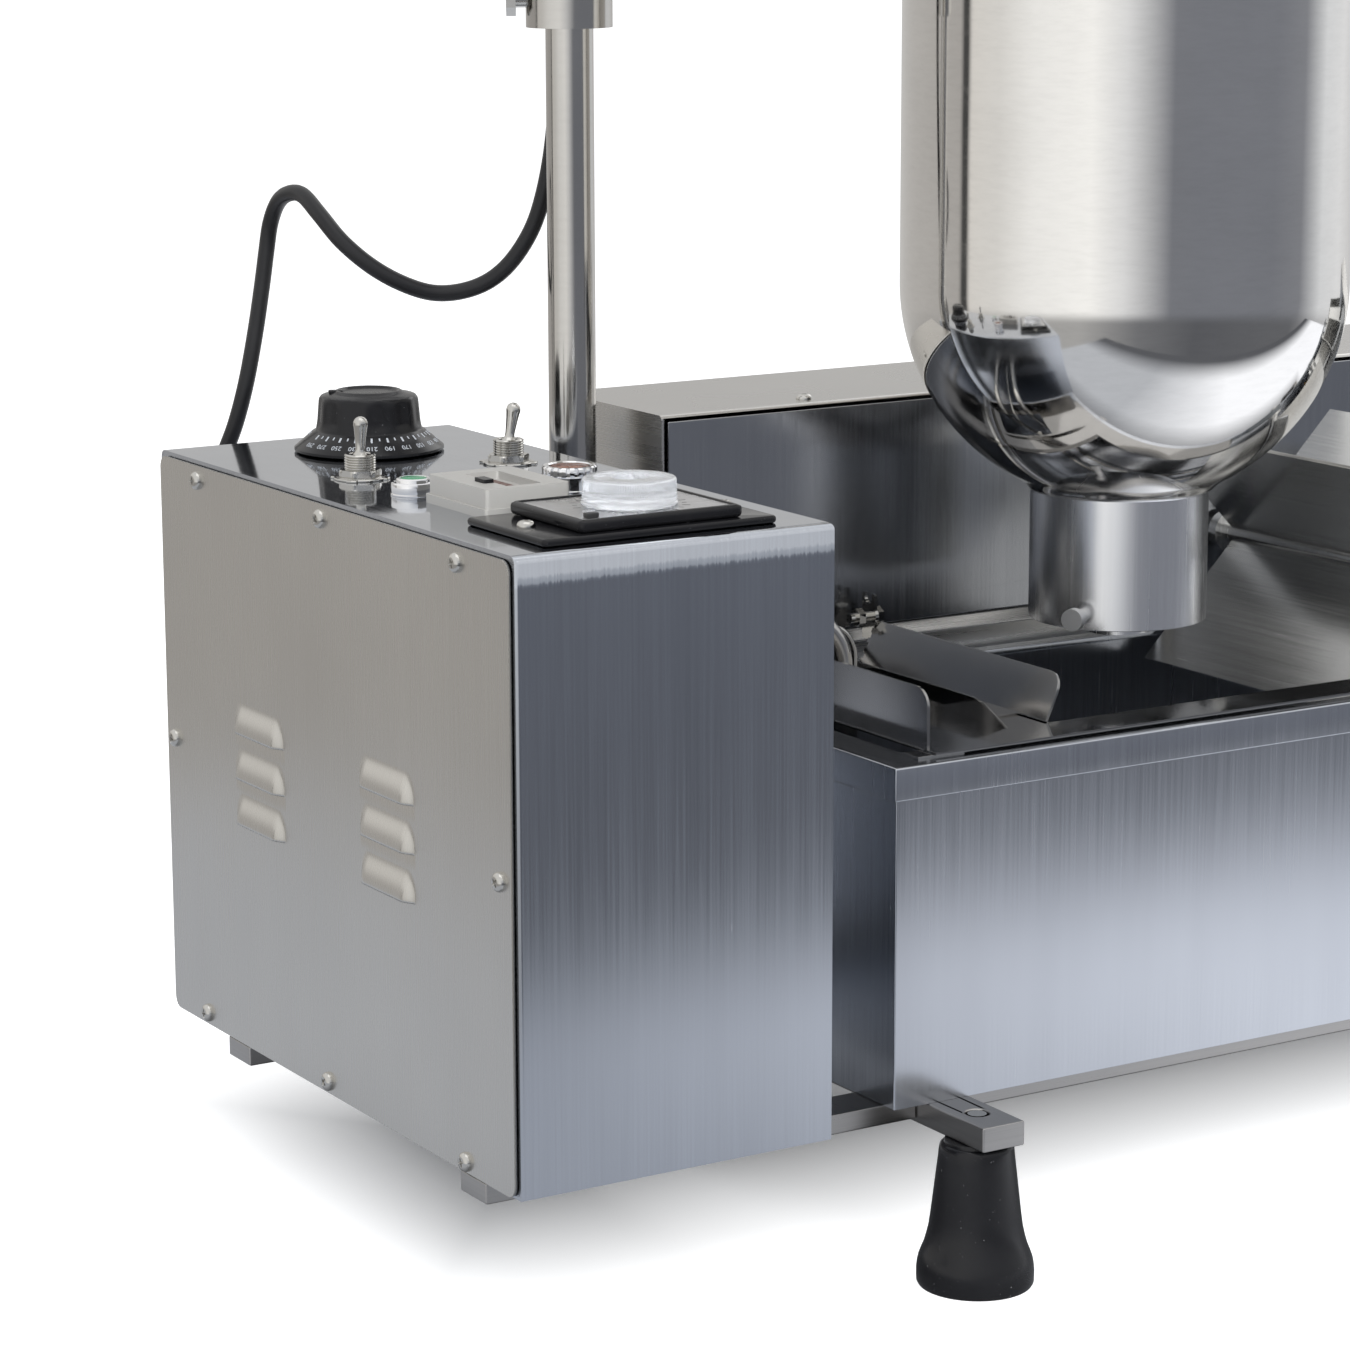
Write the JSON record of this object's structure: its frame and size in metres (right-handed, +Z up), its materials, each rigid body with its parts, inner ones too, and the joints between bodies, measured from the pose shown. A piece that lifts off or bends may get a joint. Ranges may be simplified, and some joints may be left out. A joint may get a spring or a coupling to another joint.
{
  "type": "automatic doughnut machine",
  "caption": "Table-top doughnut machine: control box, oil tank with paddle wheels, rear drive housing, mast with swinging head, round-bottomed batter hopper and plunger.",
  "frame": {"origin": "on the floor plane, under the middle of the whole machine without its lead", "axes": "+Z up, +X along the tank away from the control box, the controls' side and the tank's front face -Y"},
  "size_m": [1.0502, 0.384, 0.647],
  "materials": {
    "brushed_steel": "brushed, fine vertical grain",
    "polished_steel": "mirror polished",
    "nickel_plate": "bright nickel plate",
    "dark_steel": "bright rolled sheet that shows dark reflections",
    "black_rubber": "satin black rubber",
    "black_plastic": "satin black plastic",
    "beige_plastic": "satin beige-grey plastic",
    "green_plastic": "gloss green",
    "amber_lens": "gloss amber lens",
    "clear_plastic": "clear ribbed plastic",
    "grey_plastic": "matte grey",
    "brass": "satin brass",
    "red_plastic": "dipped red plastic",
    "cast_grey": "painted castings"
  },
  "bodies": {
    "base": {"crossbar_left": "brushed_steel", "crossbar_right": "brushed_steel", "rail_front": "brushed_steel", "rail_rear": "brushed_steel", "rubber_feet": "black_rubber", "foot_studs": "nickel_plate", "box_shell": "brushed_steel", "box_side_cover": "brushed_steel", "cover_screws": "nickel_plate", "thermostat_body": "black_plastic", "toggle_switches": "nickel_plate", "button_bezel": "nickel_plate", "lamp_bezel": "nickel_plate", "lamp_lens": "amber_lens", "counter_case": "beige_plastic", "timer_plate": "black_plastic", "timer_frame": "black_plastic", "timer_screws": "nickel_plate", "cable_gland": "black_plastic", "mains_gland": "black_plastic", "contactor": "grey_plastic", "oil_tank": "brushed_steel", "guide_sheet": "dark_steel", "guide_trough": "dark_steel", "guide_bolt": "nickel_plate", "heating_element": "polished_steel", "thermostat_bulb": "polished_steel", "drain_valve": "brass", "discharge_chute": "brushed_steel", "drive_housing": "brushed_steel", "drive_lid": "brushed_steel", "drive_panel": "dark_steel", "drive_screws": "nickel_plate", "housing_posts": "brushed_steel", "gear_motor": "cast_grey", "drive_belts": "black_rubber", "wheel_bearings": "cast_grey", "mast": "polished_steel", "motor_lead": "black_rubber"},
    "knob": {"thermostat_knob": "black_plastic"},
    "left_lever": {"toggle_lever_left": "nickel_plate"},
    "right_lever": {"toggle_lever_right": "nickel_plate"},
    "button": {"button_cap": "green_plastic"},
    "reset": {"counter_reset": "black_plastic"},
    "dial": {"timer_dial": "clear_plastic"},
    "valve_handle": {"drain_handle": "red_plastic"},
    "feed": {"feed_wheel": "brushed_steel"},
    "turner": {"turner_wheel": "brushed_steel"},
    "push": {"push_wheel": "brushed_steel"},
    "ejector": {"ejector_wheel": "brushed_steel"},
    "head": {"arm_base": "polished_steel", "arm_cover": "brushed_steel", "hub_bolt": "nickel_plate", "head_motor": "cast_grey", "head_gland": "black_plastic", "hopper": "polished_steel", "mould_sleeve": "polished_steel", "nozzle_bolt": "nickel_plate"},
    "crank": {"crank_disc": "brushed_steel"},
    "plunger": {"plunger": "polished_steel"}
  },
  "joints": [
    {"name": "thermostat_turn", "type": "hinge", "parent": "base", "child": "knob", "pos_m": [-0.4479, 0.105, 0.31], "axis": [0, 0, 1], "range_deg": [-300, 0]},
    {"name": "left_toggle", "type": "hinge", "parent": "base", "child": "left_lever", "pos_m": [-0.4859, 0.039, 0.318], "axis": [0, 1, 0], "range_deg": [-14, 10]},
    {"name": "right_toggle", "type": "hinge", "parent": "base", "child": "right_lever", "pos_m": [-0.4169, 0.042, 0.318], "axis": [0, 1, 0], "range_deg": [-24, 0]},
    {"name": "button_press", "type": "slide", "parent": "base", "child": "button", "axis": [0, 0, 1], "range_m": [-0.002, 0], "stiffness_N_per_m": 400, "springref_m": 0.001},
    {"name": "reset_press", "type": "slide", "parent": "base", "child": "reset", "axis": [0, 0, 1], "range_m": [-0.002, 0], "stiffness_N_per_m": 300, "springref_m": 0.001},
    {"name": "timer_turn", "type": "hinge", "parent": "base", "child": "dial", "pos_m": [-0.4499, -0.109, 0.31], "axis": [0, 0, 1], "range_deg": [-300, 0]},
    {"name": "drain_turn", "type": "hinge", "parent": "base", "child": "valve_handle", "pos_m": [0.4901, -0.0445, 0.086], "axis": [0, 0, 1], "range_deg": [0, 90]},
    {"name": "feed_spin", "type": "hinge", "parent": "base", "child": "feed", "pos_m": [-0.0439, -0.0445, 0.248], "axis": [0, -1, 0], "continuous": true},
    {"name": "turner_spin", "type": "hinge", "parent": "base", "child": "turner", "pos_m": [0.1071, -0.0445, 0.248], "axis": [0, -1, 0], "continuous": true},
    {"name": "push_spin", "type": "hinge", "parent": "base", "child": "push", "pos_m": [0.2581, -0.0445, 0.248], "axis": [0, -1, 0], "continuous": true},
    {"name": "ejector_spin", "type": "hinge", "parent": "base", "child": "ejector", "pos_m": [0.3931, -0.0445, 0.248], "axis": [0, -1, 0], "continuous": true},
    {"name": "head_swing", "type": "hinge", "parent": "base", "child": "head", "pos_m": [-0.3619, 0.085, 0.53], "axis": [0, 0, 1], "range_deg": [-30, 0]},
    {"name": "crank_turn", "type": "hinge", "parent": "head", "child": "crank", "pos_m": [-0.1909, -0.032, 0.614], "axis": [0.8253, -0.5647, 0], "range_deg": [-60, 60]},
    {"name": "plunger_slide", "type": "slide", "parent": "head", "child": "plunger", "axis": [0, 0, 1], "range_m": [-0.0129, 0.0129]}
  ],
  "couplings": [
    {"joint": "turner_spin", "follows": "feed_spin", "ratio": 1},
    {"joint": "push_spin", "follows": "feed_spin", "ratio": 1},
    {"joint": "ejector_spin", "follows": "feed_spin", "ratio": 1},
    {"joint": "crank_turn", "follows": "plunger_slide", "rad_per_m": 80.645}
  ]
}
